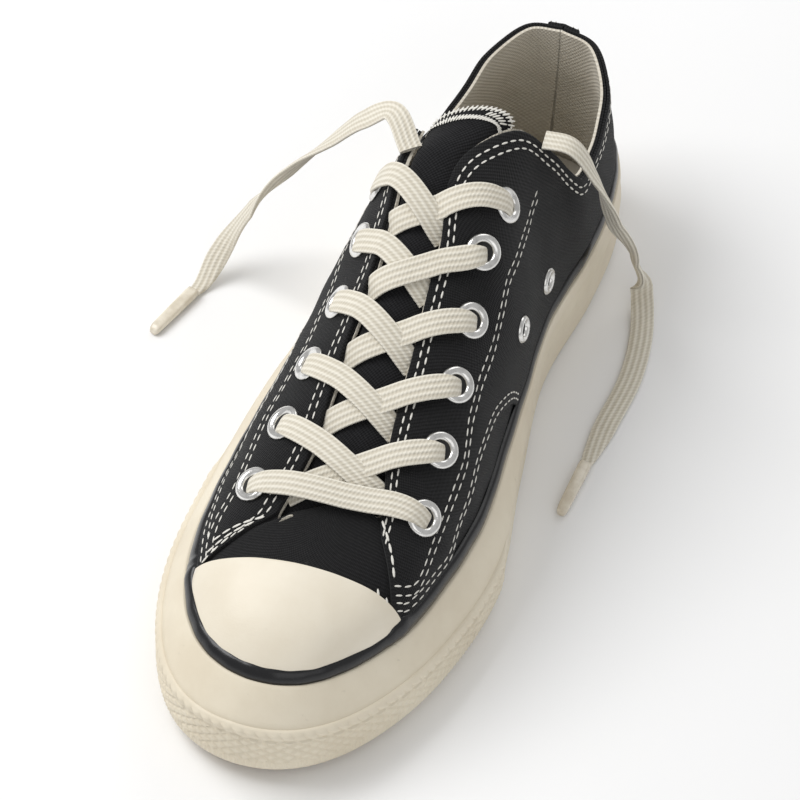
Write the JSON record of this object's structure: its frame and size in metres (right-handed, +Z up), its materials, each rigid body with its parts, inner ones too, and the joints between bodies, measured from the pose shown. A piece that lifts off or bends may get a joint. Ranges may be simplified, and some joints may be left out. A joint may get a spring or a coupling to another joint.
{
  "type": "sneaker",
  "caption": "Low canvas lace-up sneaker, right shoe, with a hollow upper, rubber toe cap, stepped rubber side wall, metal eyelets, tongue and flat lace.",
  "frame": {"origin": "centre of the shoe's bounding box at the floor, leaving out the lace's free ends", "axes": "+Z up, +Y towards the heel, -Y towards the toe, +X the medial side"},
  "size_m": [0.1548, 0.274, 0.1075],
  "materials": {
    "black_canvas": "matte woven cotton canvas, cream cotton lining inside",
    "cream_rubber": "smooth, satin, slightly yellowed",
    "black_rubber": "glossy",
    "sock_cotton": "matte twill",
    "bright_metal": "polished nickel",
    "cream_cotton": "flat woven cotton lace",
    "cream_plastic": "translucent tip over the lace"
  },
  "bodies": {
    "root": {"aglet_lateral": "cream_plastic", "aglet_medial": "cream_plastic", "eyelet_lateral_1": "bright_metal", "eyelet_lateral_2": "bright_metal", "eyelet_lateral_3": "bright_metal", "eyelet_lateral_4": "bright_metal", "eyelet_lateral_5": "bright_metal", "eyelet_lateral_6": "bright_metal", "eyelet_medial_1": "bright_metal", "eyelet_medial_2": "bright_metal", "eyelet_medial_3": "bright_metal", "eyelet_medial_4": "bright_metal", "eyelet_medial_5": "bright_metal", "eyelet_medial_6": "bright_metal", "foxing": "cream_rubber", "heel_strip": "black_canvas", "insole": "sock_cotton", "lace_end_lateral": "cream_cotton", "lace_end_medial": "cream_cotton", "lace_row_1": "cream_cotton", "lace_row_2": "cream_cotton", "lace_row_3": "cream_cotton", "lace_row_4": "cream_cotton", "lace_row_5": "cream_cotton", "lace_row_6": "cream_cotton", "outsole": "cream_rubber", "quarter_lateral": "black_canvas", "quarter_medial": "black_canvas", "toe_bumper": "cream_rubber", "toe_cap": "cream_rubber", "tongue": "black_canvas", "trim_tape": "black_rubber", "upper": "black_canvas", "vent_lower": "bright_metal", "vent_upper": "bright_metal"}
  },
  "joints": []
}
